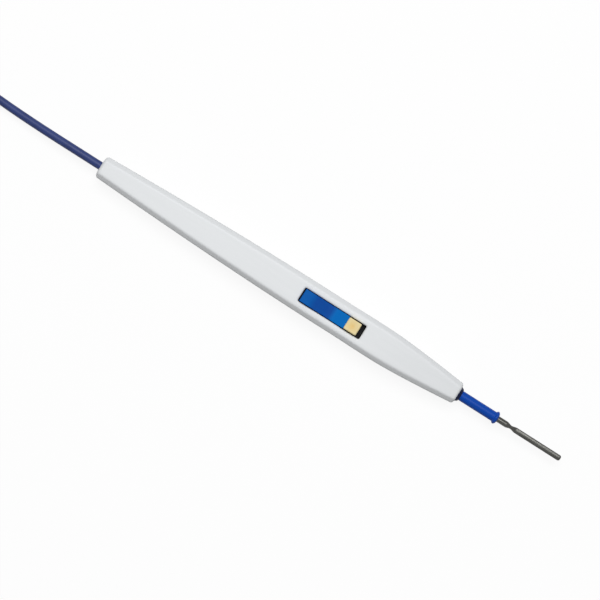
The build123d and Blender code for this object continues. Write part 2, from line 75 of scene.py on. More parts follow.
def linear(colour):
    """Linear RGBA of an sRGB hex colour."""
    shares = [int(colour[i : i + 2], 16) / 255 for i in (1, 3, 5)]
    return [s / 12.92 if s <= 0.04045 else ((s + 0.055) / 1.055) ** 2.4 for s in shares] + [1.0]


def add(tree, kind, inputs, **properties):
    """A node of that kind with its properties set, and a value or a link in each named input."""
    node = tree.nodes.new("ShaderNode" + kind)
    for name, value in properties.items():
        setattr(node, name, value)
    for name, value in inputs.items():
        if isinstance(value, bpy.types.NodeSocket):
            tree.links.new(value, node.inputs[name])
        else:
            node.inputs[name].default_value = value
    return node


def seen_directly(tree):
    """1 for rays from the camera, off a gloss or through glass, and 0 for all others."""
    path = add(tree, "LightPath", {})
    seen = add(tree, "Math", {0: path.outputs["Is Camera Ray"], 1: path.outputs["Is Glossy Ray"]})
    all_seen = add(
        tree, "Math", {0: seen.outputs[0], 1: path.outputs["Is Transmission Ray"]}, use_clamp=True
    )
    return all_seen.outputs[0]


bpy.ops.mesh.primitive_plane_add(size=floor_side)
floor = bpy.context.object
floor.name = "floor"
floor_material = bpy.data.materials.new("pale table")
floor_material.use_nodes = True
floor_tree = floor_material.node_tree
floor_tree.nodes.clear()
floor_seen = seen_directly(floor_tree)
floor_shade = add(
    floor_tree,
    "Mix",
    {0: floor_seen, 6: linear(floor_colour), 7: (shadow_share, shadow_share, shadow_share, 1)},
    data_type="RGBA",
)
floor_light = add(floor_tree, "Math", {0: floor_seen, 1: floor_glow}, operation="MULTIPLY")
floor_diffuse = add(floor_tree, "BsdfDiffuse", {"Color": floor_shade.outputs[2]})
floor_emission = add(floor_tree, "Emission", {"Strength": floor_light.outputs[0]})
floor_sum = add(
    floor_tree, "AddShader", {0: floor_diffuse.outputs[0], 1: floor_emission.outputs[0]}
)
add(floor_tree, "OutputMaterial", {"Surface": floor_sum.outputs[0]})
floor.data.materials.append(floor_material)

world = bpy.data.worlds.new("plain room")
world.use_nodes = True
world_tree = world.node_tree
world_tree.nodes.clear()
world_seen = seen_directly(world_tree)
world_strength = add(world_tree, "Mix", {0: world_seen, 2: room_strength, 3: 1.0})
world_light = add(world_tree, "Background", {"Strength": world_strength.outputs[0]})
add(world_tree, "OutputWorld", {"Surface": world_light.outputs[0]})
bpy.context.scene.world = world


# Lamp: one wide soft panel above the pencil, a little to its far side and to its cable end, so
# that the near shoulder of the handle is the darker one. At its power colours render as written.
lamp_side = 0.9
lamp_direction = (-0.12, 0.31, 0.94)
lamp_distance = 1.5
lamp_power = 19.5

lamp_data = bpy.data.lights.new("panel", "AREA")
lamp_data.shape = "SQUARE"
lamp_data.size = lamp_side
lamp_data.energy = lamp_power
lamp = bpy.data.objects.new("panel", lamp_data)
bpy.context.scene.collection.objects.link(lamp)
lamp.location = [part * lamp_distance for part in lamp_direction]
lamp.rotation_euler = Vector(lamp_direction).to_track_quat("Z", "Y").to_euler()
lamp.visible_camera = False


# Cable: three stranded copper wires in a round extruded jacket of soft PVC, 3 m long. It leaves
# the handle's rear face, and the length that isn't in use is folded into a hank.
cable_radius = 0.0016
cable_lead = [
    (-0.0885, 0, 0.0059),
    (-0.1105, 0, 0.0059),
    (-0.1325, 0, 0.0041),
    (-0.1545, 0.0008, 0.0026),
    (-0.1755, 0.0038, 0.0024),
]
cable_tail = [
    (-0.2485, 0.0040, 0.0120),
    (-0.2605, 0.0038, 0.0118),
    (-0.2740, -0.0006, 0.0098),
    (-0.2875, -0.0090, 0.0066),
    (-0.3010, -0.0149, 0.0048),
    (-0.3135, -0.0149, 0.0048),
]
turns_across = 4
half_turns = 27
points_per_fold = 6
run_shares = (0.05, 0.35, 0.65, 0.95)
cable_dark = "#232E5E"
cable_light = "#34457E"
cable_cloud = 0.004
cable_skin_grain = 0.0003
cable_skin_depth = 0.00001


def new_material(name):
    """A material with an empty node tree, and the place on the piece that its patterns read."""
    material = bpy.data.materials.new(name)
    material.use_nodes = True
    tree = material.node_tree
    tree.nodes.clear()
    return material, tree, add(tree, "TexCoord", {}).outputs["Object"]


def hank_points():
    """The hank's turns, layer on layer: each is a run and a fold, first inwards, then outwards."""
    low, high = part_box("cord_hank")
    pitch = 2 * cable_radius
    middle = (low.y + high.y) / 2
    outer_radius = (high.y - low.y) / 2 - cable_radius
    fold_x = {1: high.x - outer_radius - cable_radius, -1: low.x + outer_radius + cable_radius}
    half_turns_a_layer = 2 * turns_across - 1
    points = []
    radius = outer_radius
    for half_turn in range(half_turns):
        layer, place = divmod(half_turn, half_turns_a_layer)
        side = 1 if half_turn % 2 == 0 else -1
        height = low.z + cable_radius + layer * pitch
        steps_in = (place + 1) // 2
        if layer % 2:
            steps_in = turns_across - 1 - steps_in
        radius_before, radius = radius, outer_radius - steps_in * pitch
        start_x, end_x = fold_x[side], fold_x[-side]
        for share in run_shares:
            across = radius_before if share < 0.5 else radius
            points.append((start_x + (end_x - start_x) * share, middle + side * across, height))
        if half_turn == half_turns - 1:
            break
        climb = pitch if place == half_turns_a_layer - 1 else 0
        reach = radius / cos(pi / points_per_fold / 2)
        for number in range(points_per_fold):
            share = (number + 0.5) / points_per_fold
            x = end_x - side * reach * sin(pi * share)
            y = middle + side * reach * cos(pi * share)
            points.append((x, y, height + climb * share))
    return points


cable_points = cable_lead + hank_points() + cable_tail
cable_curve = bpy.data.curves.new("cable", "CURVE")
cable_curve.dimensions = "3D"
cable_curve.bevel_depth = cable_radius
cable_curve.bevel_resolution = 6
cable_curve.resolution_u = 4
cable_curve.use_fill_caps = True
cable_spline = cable_curve.splines.new("NURBS")
cable_spline.points.add(len(cable_points) - 1)
for spline_point, place in zip(cable_spline.points, cable_points):
    spline_point.co = (*place, 1)
cable_spline.order_u = 3
cable_spline.use_endpoint_u = True
cable = bpy.data.objects.new("cable", cable_curve)
bpy.context.scene.collection.objects.link(cable)

# Extruded PVC: a dark blue skin with faint cloudy patches and a soft, slightly uneven sheen
cable_material, tree, place = new_material("extruded PVC, dark blue")
cloud = add(tree, "TexNoise", {"Vector": place, "Scale": 1 / cable_cloud, "Detail": 3.0})
shade = add(
    tree,
    "Mix",
    {0: cloud.outputs["Fac"], 6: linear(cable_dark), 7: linear(cable_light)},
    data_type="RGBA",
)
gloss = add(tree, "MapRange", {"Value": cloud.outputs["Fac"], "To Min": 0.38, "To Max": 0.52})
skin_grain = add(tree, "TexNoise", {"Vector": place, "Scale": 1 / cable_skin_grain})
relief = add(
    tree,
    "Bump",
    {"Height": skin_grain.outputs["Fac"], "Strength": 0.3, "Distance": cable_skin_depth},
)
shader = add(
    tree,
    "BsdfPrincipled",
    {
        "Base Color": shade.outputs[2],
        "Roughness": gloss.outputs["Result"],
        "Normal": relief.outputs["Normal"],
        "Specular IOR Level": 0.28,
    },
)
add(tree, "OutputMaterial", {"Surface": shader.outputs[0]})
cable_curve.materials.append(cable_material)

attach(cable, "handle")
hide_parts("cord_lead", "cord_hank", "cord_tail")


# Hank tie: a band of white polythene film, wound twice round the folded cable and welded to
# itself. It lies on the outermost turns and slopes where the top layer lacks its last turn.
tie_laps = 2
tie_film = 0.00036
tie_layer_share = 0.94
tie_clearance = 0.00003
tie_start = 0.006
tie_step_length = 0.0016
tie_arc_steps = 6
tie_light = "#EFEFED"
tie_dark = "#DFE1E2"
tie_calender_line = (0.02, 0.0005, 0.02)
tie_line_depth = 0.00003
merge_distance = 1e-7
sharp_angle = radians(32)


def shown(form, name, material, slot, body, *nodes):
    """A piece of that form, smooth but for its sharp edges, which is shown for those CAD nodes."""
    bmesh.ops.remove_doubles(form, verts=form.verts, dist=merge_distance)
    bmesh.ops.recalc_face_normals(form, faces=form.faces)
    for face in form.faces:
        face.smooth = True
    for edge in form.edges:
        edge.smooth = len(edge.link_faces) == 2 and edge.calc_face_angle() < sharp_angle
    mesh = bpy.data.meshes.new(name)
    form.to_mesh(mesh)
    form.free()
    mesh.materials.append(material)
    piece = bpy.data.objects.new(name, mesh)
    bpy.context.scene.collection.objects.link(piece)
    flat_faces = piece.modifiers.new("flat faces", "WEIGHTED_NORMAL")
    flat_faces.keep_sharp = True
    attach(piece, body)
    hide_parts(*nodes)
    return piece


def led_to(form, edge, target):
    """The band's end edge after one straight run to a place."""
    run = bmesh.ops.extrude_edge_only(form, edges=[edge])["geom"]
    ends = [part for part in run if isinstance(part, bmesh.types.BMVert)]
    here = (ends[0].co + ends[1].co) / 2
    bmesh.ops.translate(form, verts=ends, vec=(0, target[0] - here.y, target[1] - here.z))
    return next(part for part in form.edges if set(part.verts) == set(ends))


def bent_round(form, edge, centre, angle):
    """The band's end edge after one bend about a turn of the cable."""
    bend = bmesh.ops.spin(
        form,
        geom=[edge, *edge.verts],
        cent=(0, *centre),
        axis=(1, 0, 0),
        angle=angle,
        steps=tie_arc_steps,
        use_merge=False,
        use_duplicate=False,
    )
    return next(part for part in bend["geom_last"] if isinstance(part, bmesh.types.BMEdge))


tie_low, tie_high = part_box("cord_tie")
hank_low, hank_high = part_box("cord_hank")
left_turn, right_turn = hank_low.y + cable_radius, hank_high.y - cable_radius
bottom_turn, top_turn = hank_low.z + cable_radius, hank_high.z - cable_radius
tie_bends = [
    (left_turn + 2 * cable_radius, top_turn, pi / 4),
    (left_turn, top_turn - 2 * cable_radius, pi / 4),
    (left_turn, bottom_turn, pi / 2),
    (right_turn, bottom_turn, pi / 2),
    (right_turn, top_turn, pi / 2),
]
tie_y = (left_turn + right_turn) / 2 + tie_start
tie_reach = cable_radius + tie_clearance
tie_form = bmesh.new()
tie_ends = [tie_form.verts.new((x, tie_y, top_turn + tie_reach)) for x in (tie_low.x, tie_high.x)]
tie_edge = tie_form.edges.new(tie_ends)
for lap in range(tie_laps):
    leaning = 0.0
    for turn_y, turn_z, bend in tie_bends:
        touch = (turn_y - tie_reach * sin(leaning), turn_z + tie_reach * cos(leaning))
        tie_edge = led_to(tie_form, tie_edge, touch)
        tie_edge = bent_round(tie_form, tie_edge, (turn_y, turn_z), bend)
        leaning += bend
    tie_edge = led_to(tie_form, tie_edge, (tie_y + tie_step_length, top_turn + tie_reach))
    if lap < tie_laps - 1:
        tie_reach += tie_film
        tie_edge = led_to(tie_form, tie_edge, (tie_y, top_turn + tie_reach))
bmesh.ops.recalc_face_normals(tie_form, faces=tie_form.faces)
# Each lap is drawn a little thinner than the film's step, so that the two laps don't touch
bmesh.ops.solidify(tie_form, geom=tie_form.faces[:], thickness=-tie_layer_share * tie_film)

# Blown polythene: milky white, with the faint lines of the rolls that it ran through. The lines
# are drawn coarser than they are, so that they show
tie_material, tree, place = new_material("polythene film, white")
drawn = add(tree, "Mapping", {"Vector": place, "Scale": [1 / s for s in tie_calender_line]})
lines = add(tree, "TexNoise", {"Vector": drawn.outputs["Vector"], "Scale": 1.0, "Detail": 3.0})
shade = add(
    tree,
    "Mix",
    {0: lines.outputs["Fac"], 6: linear(tie_dark), 7: linear(tie_light)},
    data_type="RGBA",
)
gloss = add(tree, "MapRange", {"Value": lines.outputs["Fac"], "To Min": 0.34, "To Max": 0.5})
relief = add(
    tree,
    "Bump",
    {"Height": lines.outputs["Fac"], "Strength": 0.5, "Distance": tie_line_depth},
)
shader = add(
    tree,
    "BsdfPrincipled",
    {
        "Base Color": shade.outputs[2],
        "Roughness": gloss.outputs["Result"],
        "Normal": relief.outputs["Normal"],
    },
)
add(tree, "OutputMaterial", {"Surface": shader.outputs[0]})
tie = shown(tie_form, "hank_tie", tie_material, "tie_white", "handle", "cord_tie")


# Handle: two half shells of white ABS, moulded in a spark-eroded mould and welded together along
# the parting line. The upper one has the switch's slot, and the lower one a flat belly.
housing_light = "#E8EAEC"
housing_dark = "#E0E3E5"
housing_streak = (0.03, 0.0018, 0.0018)
housing_grain = 0.00022
housing_grain_depth = 0.00003
housing_edge = 0.0012
edge_samples = 8


def dress(material, *nodes):
    """Gives CAD nodes that keep their shape their material."""
    for node in nodes:
        for material_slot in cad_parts[node].material_slots:
            material_slot.material = material


# Moulded ABS: a neutral white with faint streaks along the melt's flow. The eroded grain, about
# 0.05 mm in the real mould, is drawn coarser, and breaks the sheen up to a fine satin. The light
# turns softly over the mould's rounded edges
housing_material, tree, place = new_material("moulded ABS, white")
flow = add(tree, "Mapping", {"Vector": place, "Scale": [1 / s for s in housing_streak]})
streak = add(tree, "TexNoise", {"Vector": flow.outputs["Vector"], "Scale": 1.0, "Detail": 2.0})
shade = add(
    tree,
    "Mix",
    {0: streak.outputs["Fac"], 6: linear(housing_dark), 7: linear(housing_light)},
    data_type="RGBA",
)
gloss = add(tree, "MapRange", {"Value": streak.outputs["Fac"], "To Min": 0.4, "To Max": 0.52})
grain = add(tree, "TexNoise", {"Vector": place, "Scale": 1 / housing_grain, "Detail": 2.0})
rounded = add(tree, "Bevel", {"Radius": housing_edge}, samples=edge_samples)
relief = add(
    tree,
    "Bump",
    {
        "Height": grain.outputs["Fac"],
        "Strength": 0.5,
        "Distance": housing_grain_depth,
        "Normal": rounded.outputs["Normal"],
    },
)
shader = add(
    tree,
    "BsdfPrincipled",
    {
        "Base Color": shade.outputs[2],
        "Roughness": gloss.outputs["Result"],
        "Normal": relief.outputs["Normal"],
        "IOR": 1.53,
        "Specular IOR Level": 0.4,
    },
)
add(tree, "OutputMaterial", {"Surface": shader.outputs[0]})
dress(housing_material, "upper_shell", "lower_shell")


# Switch board: a strip of glass-fibre laminate with green lacquer on copper tracks. It lies on the
# lower shell's rests, and each of its two snap domes closes one circuit.
board_green = "#12573A"
board_track = "#1E7A4C"
board_weave = 0.0006
board_weave_share = 0.3
board_track_pitch = 0.0022
board_track_depth = 0.00003
wave_at_scale_one = 0.314
dome_bright = "#C9C9C4"
dome_dull = "#A4A49F"
dome_roll_line = (0.004, 0.00015, 0.004)

# Lacquered laminate: the glass cloth's weave shows faintly, and the lacquer is lighter over
# copper. Bands of a wave texture lie 0.314 m apart at a scale of 1
board_material, tree, place = new_material("lacquered glass laminate, green")
across = add(tree, "Mapping", {"Vector": place, "Rotation": (0, 0, radians(90))})
warp = add(
    tree,
    "TexWave",
    {"Vector": place, "Scale": wave_at_scale_one / board_weave, "Distortion": 0.4},
    bands_direction="X",
)
weft = add(
    tree,
    "TexWave",
    {
        "Vector": across.outputs["Vector"],
        "Scale": wave_at_scale_one / board_weave,
        "Distortion": 0.4,
    },
    bands_direction="X",
)
weave = add(tree, "Math", {0: warp.outputs["Fac"], 1: weft.outputs["Fac"]}, operation="MULTIPLY")
tracks = add(
    tree,
    "TexWave",
    {"Vector": place, "Scale": wave_at_scale_one / board_track_pitch, "Distortion": 0.0},
    bands_direction="Y",
)
copper = add(tree, "MapRange", {"Value": tracks.outputs["Fac"], "From Min": 0.55, "From Max": 0.6})
shade = add(
    tree,
    "Mix",
    {0: copper.outputs["Result"], 6: linear(board_green), 7: linear(board_track)},
    data_type="RGBA",
)
raised = add(
    tree,
    "Math",
    {0: weave.outputs[0], 1: board_weave_share, 2: copper.outputs["Result"]},
    operation="MULTIPLY_ADD",
)
relief = add(
    tree,
    "Bump",
    {"Height": raised.outputs[0], "Strength": 0.6, "Distance": board_track_depth},
)
shader = add(
    tree,
    "BsdfPrincipled",
    {"Base Color": shade.outputs[2], "Roughness": 0.28, "Normal": relief.outputs["Normal"]},
)
add(tree, "OutputMaterial", {"Surface": shader.outputs[0]})
dress(board_material, "switch_board")

# Rolled spring steel: bright, with the roll's fine lines, drawn coarser than they are
dome_material, tree, place = new_material("rolled spring steel")
rolled = add(tree, "Mapping", {"Vector": place, "Scale": [1 / s for s in dome_roll_line]})
lines = add(tree, "TexNoise", {"Vector": rolled.outputs["Vector"], "Scale": 1.0, "Detail": 3.0})
shade = add(
    tree,
    "Mix",
    {0: lines.outputs["Fac"], 6: linear(dome_dull), 7: linear(dome_bright)},
    data_type="RGBA",
)
gloss = add(tree, "MapRange", {"Value": lines.outputs["Fac"], "To Min": 0.2, "To Max": 0.38})
shader = add(
    tree,
    "BsdfPrincipled",
    {"Base Color": shade.outputs[2], "Roughness": gloss.outputs["Result"], "Metallic": 1.0},
)
add(tree, "OutputMaterial", {"Surface": shader.outputs[0]})
dress(dome_material, "cut_dome", "coag_dome")


# Seal: a soft tray of black silicone over the domes, which keeps fluid from the board. The upper
# shell's skirt presses it down, and the rocker presses its two bumps.
seal_black = "#0B0B0C"
seal_bloom = "#1B1B1D"
seal_bloom_size = 0.0009
seal_grain = 0.00015
seal_grain_depth = 0.00001

# Moulded silicone: nearly black and matt, with patches of a greyish bloom
seal_material, tree, place = new_material("moulded silicone, black")
bloom = add(tree, "TexNoise", {"Vector": place, "Scale": 1 / seal_bloom_size, "Detail": 4.0})
patches = add(tree, "MapRange", {"Value": bloom.outputs["Fac"], "From Min": 0.45, "From Max": 0.7})
shade = add(
    tree,
    "Mix",
    {0: patches.outputs["Result"], 6: linear(seal_black), 7: linear(seal_bloom)},
    data_type="RGBA",
)
grain = add(tree, "TexNoise", {"Vector": place, "Scale": 1 / seal_grain})
relief = add(
    tree,
    "Bump",
    {"Height": grain.outputs["Fac"], "Strength": 0.3, "Distance": seal_grain_depth},
)
shader = add(
    tree,
    "BsdfPrincipled",
    {
        "Base Color": shade.outputs[2],
        "Roughness": 0.72,
        "Normal": relief.outputs["Normal"],
        "Specular IOR Level": 0.3,
    },
)
add(tree, "OutputMaterial", {"Surface": shader.outputs[0]})
dress(seal_material, "switch_seal")


# Contact strip and socket: brass, the strip stamped from sheet and the socket turned from bar. The
# strip joins the board to the socket, which grips the electrode's shank.
brass_bright = "#D8B768"
brass_dull = "#B08C44"
brass_tool_mark = (0.00012, 0.01, 0.01)
brass_tool_depth = 0.00001

# Turned brass: warm yellow, with the tool's fine rings along it and a slight tarnish between them
brass_material, tree, place = new_material("turned brass")
turned = add(tree, "Mapping", {"Vector": place, "Scale": [1 / s for s in brass_tool_mark]})
rings = add(tree, "TexNoise", {"Vector": turned.outputs["Vector"], "Scale": 1.0, "Detail": 2.0})
shade = add(
    tree,
    "Mix",
    {0: rings.outputs["Fac"], 6: linear(brass_dull), 7: linear(brass_bright)},
    data_type="RGBA",
)
gloss = add(tree, "MapRange", {"Value": rings.outputs["Fac"], "To Min": 0.2, "To Max": 0.4})
relief = add(
    tree,
    "Bump",
    {"Height": rings.outputs["Fac"], "Strength": 0.4, "Distance": brass_tool_depth},
)
shader = add(
    tree,
    "BsdfPrincipled",
    {
        "Base Color": shade.outputs[2],
        "Roughness": gloss.outputs["Result"],
        "Normal": relief.outputs["Normal"],
        "Metallic": 1.0,
    },
)
add(tree, "OutputMaterial", {"Surface": shader.outputs[0]})
dress(brass_material, "electrode_socket", "socket_strip")


# Cable clamp: a block of undyed nylon, moulded round the jacket's end and held between the half
# shells against the rear wall, so that a pull on the cable doesn't reach the wires.
clamp_light = "#C9C6BC"
clamp_dark = "#B5B2A8"
clamp_cloud = 0.003

# Moulded nylon: waxy greyish cream with soft clouds
clamp_material, tree, place = new_material("moulded nylon, undyed")
cloud = add(tree, "TexNoise", {"Vector": place, "Scale": 1 / clamp_cloud, "Detail": 3.0})
shade = add(
    tree,
    "Mix",
    {0: cloud.outputs["Fac"], 6: linear(clamp_dark), 7: linear(clamp_light)},
    data_type="RGBA",
)
gloss = add(tree, "MapRange", {"Value": cloud.outputs["Fac"], "To Min": 0.36, "To Max": 0.55})
shader = add(
    tree,
    "BsdfPrincipled",
    {"Base Color": shade.outputs[2], "Roughness": gloss.outputs["Result"]},
)
add(tree, "OutputMaterial", {"Surface": shader.outputs[0]})
dress(clamp_material, "cord_clamp")


# Wires: thin copper strands in PVC, one for each switch and one for the electrode's current. They
# leave the cable where its jacket ends, at the clamp's front, and are soldered to the board's edge.
wire_colours = {
    "wire_cut": ("#D9B21F", "#C49C12"),
    "wire_active": ("#B32A22", "#98201A"),
    "wire_coag": ("#E3E3E0", "#CFCFCC"),
}
wire_cloud = 0.0008

# Extruded PVC: even colours with the slight clouding and soft sheen of a wire's skin
for node, (light, dark) in wire_colours.items():
    wire_material, tree, place = new_material("extruded PVC, " + node)
    cloud = add(tree, "TexNoise", {"Vector": place, "Scale": 1 / wire_cloud, "Detail": 2.0})
    shade = add(
        tree, "Mix", {0: cloud.outputs["Fac"], 6: linear(dark), 7: linear(light)}, data_type="RGBA"
    )
    gloss = add(tree, "MapRange", {"Value": cloud.outputs["Fac"], "To Min": 0.35, "To Max": 0.5})
    shader = add(
        tree,
        "BsdfPrincipled",
        {"Base Color": shade.outputs[2], "Roughness": gloss.outputs["Result"]},
    )
    add(tree, "OutputMaterial", {"Surface": shader.outputs[0]})
    dress(wire_material, node)


# Rocker: a saddle-shaped lever of blue ABS. It snaps by its two trunnions into bearings below the
# slot's sides, and a nub under each pad presses one dome. Its edges are eased all round.
rocker_width = 0.0052
rocker_underside = 0.0101
rocker_pad = 0.0035
rocker_middle = -0.0003
rocker_valley = 0.0119
rocker_saddle_ease = 0.0022
rocker_crest_ease = 0.0006
rocker_edge_ease = 0.00028
pivot_height = 0.0096
hub_radius = 0.001
trunnion_radius = 0.0008
trunnion_reach = 0.004
trunnion_sides = 32
nub_radius = 0.0009
nub_taper = 0.8
nub_offset = 0.0082
nub_sides = 24
stub_width = 0.0033
stub_length = 0.0045
stub_height = 0.00305
# The rocker's two blues are lit and shaded copies of one colour: the lighter one is painted light,
# the darker one painted shade, and the flow streaks shift the colour between them
rocker_blue = "#006CBF"
rocker_shaded_blue = "#14479C"
rocker_flow = (0.006, 0.0012, 0.0012)
rocker_flow_share = 0.3
rocker_grain_depth = 0.00002
# Painted light on the crests: its share of the lighter blue and the depth below the crest over
# which it fades. Then the length over which painted light rises on the ramp up to the cap
rocker_crest_painted_light = 0.4
rocker_painted_light_depth = 0.0004
rocker_ramp_painted_light_length = 0.002
same_place = 1e-6


def eased(form, edges, radius, segments=4):
    """Rounds those edges."""
    bmesh.ops.bevel(
        form,
        geom=list(edges),
        offset=radius,
        segments=segments,
        profile=0.5,
        affect="EDGES",
        clamp_overlap=True,
        material=-1,
    )


def cross_edges(form, x, z):
    """The edges across the rocker at a place of its side outline."""
    place = Vector((x, 0, z))
    middles = {edge: (edge.verts[0].co + edge.verts[1].co) / 2 for edge in form.edges}
    return [edge for edge, middle in middles.items() if (middle - place).length < same_place]


rocker_low, rocker_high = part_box("rocker")
cap_low, cap_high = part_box("rocker_cap")
crest = rocker_high.z
rocker_form = bmesh.new()
rocker_side = [
    (rocker_low.x, rocker_underside),
    (rocker_low.x, crest),
    (rocker_low.x + rocker_pad, crest),
    (rocker_middle, rocker_valley),
    (cap_low.x, crest),
    (cap_low.x, rocker_underside),
]
side_face = rocker_form.faces.new(
    [rocker_form.verts.new((x, -rocker_width / 2, z)) for x, z in rocker_side]
)
far_side = bmesh.ops.extrude_face_region(rocker_form, geom=[side_face], use_keep_orig=True)
far_verts = [part for part in far_side["geom"] if isinstance(part, bmesh.types.BMVert)]
bmesh.ops.translate(rocker_form, verts=far_verts, vec=(0, rocker_width, 0))
valley_edges = cross_edges(rocker_form, rocker_middle, rocker_valley)
eased(rocker_form, valley_edges, rocker_saddle_ease, segments=6)
eased(rocker_form, cross_edges(rocker_form, rocker_low.x + rocker_pad, crest), rocker_crest_ease)
eased(rocker_form, cross_edges(rocker_form, rocker_low.x, crest), rocker_edge_ease)
side_edges = [
    edge
    for edge in rocker_form.edges
    if abs(edge.verts[0].co.y - edge.verts[1].co.y) < same_place
    and min(vert.co.z for vert in edge.verts) > rocker_underside + same_place
]
eased(rocker_form, side_edges, rocker_edge_ease)
for radius, half_length in ((hub_radius, rocker_width / 2), (trunnion_radius, trunnion_reach)):
    bmesh.ops.create_cone(
        rocker_form,
        cap_ends=True,
        segments=trunnion_sides,
        radius1=radius,
        radius2=radius,
        depth=2 * half_length,
        matrix=Matrix.Translation((rocker_middle, 0, pivot_height))
        @ Matrix.Rotation(pi / 2, 4, "X"),
    )
nub_length = rocker_underside - rocker_low.z
for side in (-1, 1):
    bmesh.ops.create_cone(
        rocker_form,
        cap_ends=True,
        segments=nub_sides,
        radius1=nub_taper * nub_radius,
        radius2=nub_radius,
        depth=nub_length,
        matrix=Matrix.Translation(
            (rocker_middle + side * nub_offset, 0, rocker_low.z + nub_length / 2)
        ),
    )
stub_centre = (cap_low.x + stub_length / 2, 0, rocker_underside + stub_height / 2)
bmesh.ops.create_cube(
    rocker_form,
    size=1.0,
    matrix=Matrix.Translation(stub_centre)
    @ Matrix.Diagonal((stub_length, stub_width, stub_height, 1)),
)

# Moulded ABS: a deep clear blue with faint flow along the lever. Its crests, and most of all the
# ramp that leads up to the cap, are painted lighter as painted light, and the rest darker as
# painted shade.
# Fingers have rubbed the crests and that ramp smoother
rocker_material, tree, place = new_material("moulded ABS, blue")
flow = add(tree, "Mapping", {"Vector": place, "Scale": [1 / s for s in rocker_flow]})
streak = add(tree, "TexNoise", {"Vector": flow.outputs["Vector"], "Scale": 1.0, "Detail": 2.0})
spot = add(tree, "SeparateXYZ", {"Vector": place})
# Painted light: the rocker is painted lighter near the top of its crests
crest_painted_light = add(
    tree,
    "MapRange",
    {
        "Value": spot.outputs["Z"],
        "From Min": crest - rocker_painted_light_depth,
        "From Max": crest,
        "To Max": rocker_crest_painted_light,
    },
)
# Painted light: from the valley forwards, the ramp up to the cap is painted lighter
ramp_painted_light = add(
    tree,
    "MapRange",
    {
        "Value": spot.outputs["X"],
        "From Min": rocker_middle,
        "From Max": rocker_middle + rocker_ramp_painted_light_length,
    },
)
painted_light_and_rub = add(
    tree,
    "Math",
    {0: crest_painted_light.outputs["Result"], 1: ramp_painted_light.outputs["Result"]},
    operation="MAXIMUM",
)
tone = add(
    tree,
    "Math",
    {0: streak.outputs["Fac"], 1: rocker_flow_share, 2: painted_light_and_rub.outputs[0]},
    operation="MULTIPLY_ADD",
    use_clamp=True,
)
# Painted light and shade: the lighter blue where the painted light is, the darker shaded blue
# elsewhere
shade = add(
    tree,
    "Mix",
    {0: tone.outputs[0], 6: linear(rocker_shaded_blue), 7: linear(rocker_blue)},
    data_type="RGBA",
)
gloss = add(tree, "MapRange", {"Value": painted_light_and_rub.outputs[0], "To Min": 0.5, "To Max": 0.36})
grain = add(tree, "TexNoise", {"Vector": place, "Scale": 1 / housing_grain, "Detail": 2.0})
relief = add(
    tree,
    "Bump",
    {"Height": grain.outputs["Fac"], "Strength": 0.4, "Distance": rocker_grain_depth},
)
shader = add(
    tree,
    "BsdfPrincipled",
    {
        "Base Color": shade.outputs[2],
        "Roughness": gloss.outputs["Result"],
        "Normal": relief.outputs["Normal"],
        "Specular IOR Level": 0.04,
    },
)
add(tree, "OutputMaterial", {"Surface": shader.outputs[0]})
shown(rocker_form, "rocker_lever", rocker_material, "rocker_blue", "rocker", "rocker")


# Cap: a hollow button of yellow ABS, clipped over the rocker's front, so that this pad is known
# by its colour and by the step up to it. Its top is dished a little for the fingertip.
cap_edge = 0.0005
cap_dish_inset = 0.0013
cap_dish_depth = 0.00012
# The paler yellow serves both as a painted highlight towards the pad's edges and for its paler
# clouds
cap_light = "#E8DCAC"
cap_deep = "#EABF62"
cap_cloud = 0.0025
cap_cloud_share = 0.5
cap_grain_depth = 0.00002

cap_form = bmesh.new()
cap_size = cap_high - cap_low
cap_middle = (cap_low + cap_high) / 2
bmesh.ops.create_cube(
    cap_form,
    size=1.0,
    matrix=Matrix.Translation(cap_middle) @ Matrix.Diagonal((*cap_size, 1)),
)
top_and_corner_edges = [
    edge for edge in cap_form.edges if max(vert.co.z for vert in edge.verts) > cap_middle.z
]
cap_top = max(cap_form.faces, key=lambda face: face.calc_center_median().z)
bmesh.ops.inset_region(cap_form, faces=[cap_top], thickness=cap_dish_inset)
bmesh.ops.translate(cap_form, verts=cap_top.verts, vec=(0, 0, -cap_dish_depth))
eased(cap_form, top_and_corner_edges, cap_edge, segments=5)

# Moulded ABS: warm yellow with soft clouds. It is painted paler towards the pad's edges as a
# painted highlight, and so it is deepest in the middle
cap_material, tree, place = new_material("moulded ABS, yellow")
centred = add(
    tree,
    "Mapping",
    {
        "Vector": place,
        "Location": (-cap_middle.x / cap_size.x, -cap_middle.y / cap_size.y, 0),
        "Scale": (1 / cap_size.x, 1 / cap_size.y, 0),
    },
)
from_middle = add(tree, "VectorMath", {0: centred.outputs["Vector"]}, operation="LENGTH")
cloud = add(tree, "TexNoise", {"Vector": place, "Scale": 1 / cap_cloud, "Detail": 3.0})
# Painted highlight: the pad is painted paler the further from its middle, on top of its clouds
clouds_and_painted_highlight = add(
    tree,
    "Math",
    {0: cloud.outputs["Fac"], 1: cap_cloud_share, 2: from_middle.outputs["Value"]},
    operation="MULTIPLY_ADD",
    use_clamp=True,
)
shade = add(
    tree,
    "Mix",
    {0: clouds_and_painted_highlight.outputs[0], 6: linear(cap_deep), 7: linear(cap_light)},
    data_type="RGBA",
)
grain = add(tree, "TexNoise", {"Vector": place, "Scale": 1 / housing_grain, "Detail": 2.0})
relief = add(
    tree,
    "Bump",
    {"Height": grain.outputs["Fac"], "Strength": 0.4, "Distance": cap_grain_depth},
)
shader = add(
    tree,
    "BsdfPrincipled",
    {
        "Base Color": shade.outputs[2],
        "Roughness": 0.42,
        "Normal": relief.outputs["Normal"],
        "Specular IOR Level": 0.35,
    },
)
add(tree, "OutputMaterial", {"Surface": shader.outputs[0]})
